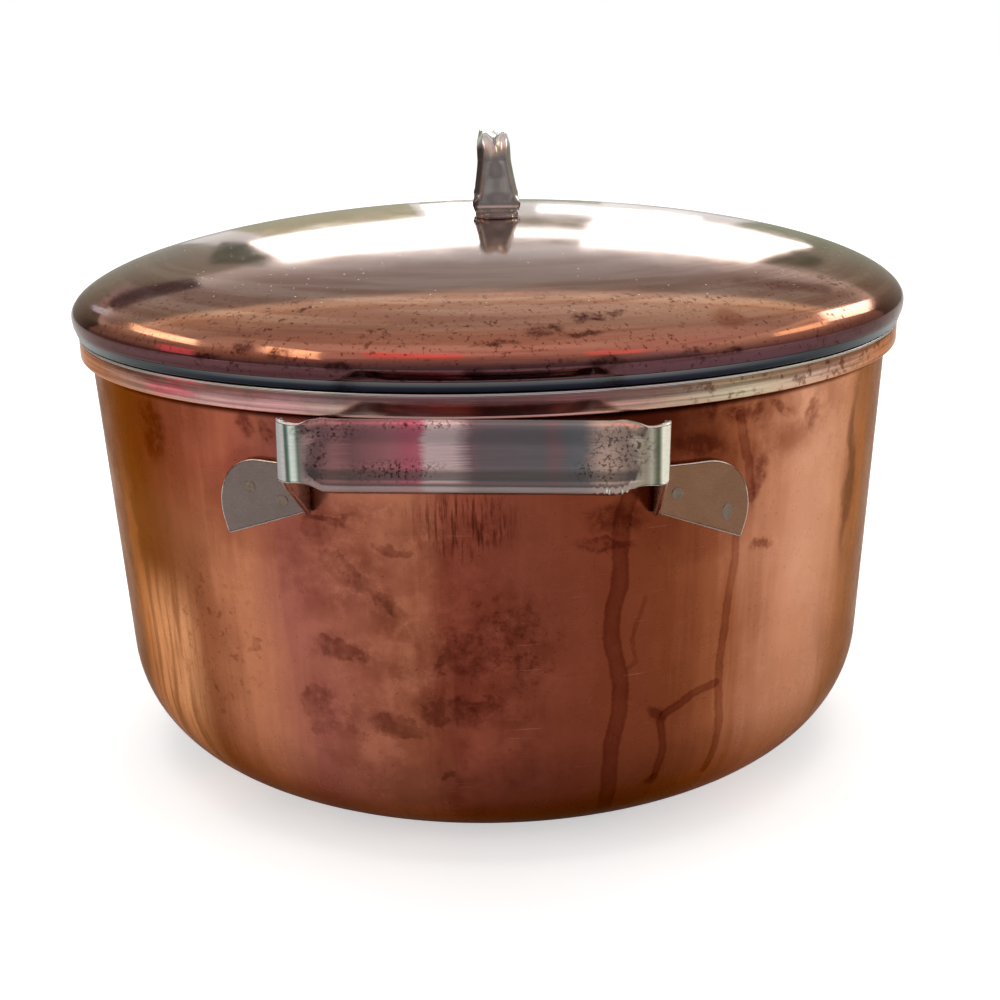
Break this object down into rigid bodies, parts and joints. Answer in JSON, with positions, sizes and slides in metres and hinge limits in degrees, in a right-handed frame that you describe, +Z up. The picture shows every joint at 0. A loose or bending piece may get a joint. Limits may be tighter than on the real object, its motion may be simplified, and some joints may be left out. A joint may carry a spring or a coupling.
{
  "type": "stock pot",
  "caption": "Round tapered copper stock pot with a steel lining, a domed lift-off lid, bent sheet-steel side handles and an arched lid handle.",
  "frame": {"origin": "centre of the flat resting face under the pot", "axes": "+Z up along the pot's axis, -Y towards the front handle, +Y towards the rear handle, +X to the right seen from the front"},
  "size_m": [0.2496, 0.305, 0.1847],
  "materials": {
    "pot_copper": "satin copper with heat tint and cooking stains",
    "lid_copper": "polished copper, lightly scuffed",
    "pot_lining_steel": "satin stainless steel",
    "lid_lining_steel": "satin stainless steel",
    "handle_steel": "brushed stainless steel with tarnish specks",
    "lid_handle_steel": "half-polished stainless steel",
    "weld_steel": "dull spot-weld marks"
  },
  "bodies": {
    "pot": {"pot_shell": "pot_copper", "pot_lining": "pot_lining_steel", "front_handle": "handle_steel", "rear_handle": "handle_steel", "front_handle_welds": "weld_steel", "rear_handle_welds": "weld_steel"},
    "lid": {"lid_shell": "lid_copper", "lid_lining": "lid_lining_steel", "lid_handle": "lid_handle_steel", "lid_handle_welds": "weld_steel"}
  },
  "joints": [
    {"name": "lid_lift", "type": "slide", "parent": "pot", "child": "lid", "axis": [0, 0, 1], "range_m": [0, 0.2]}
  ]
}
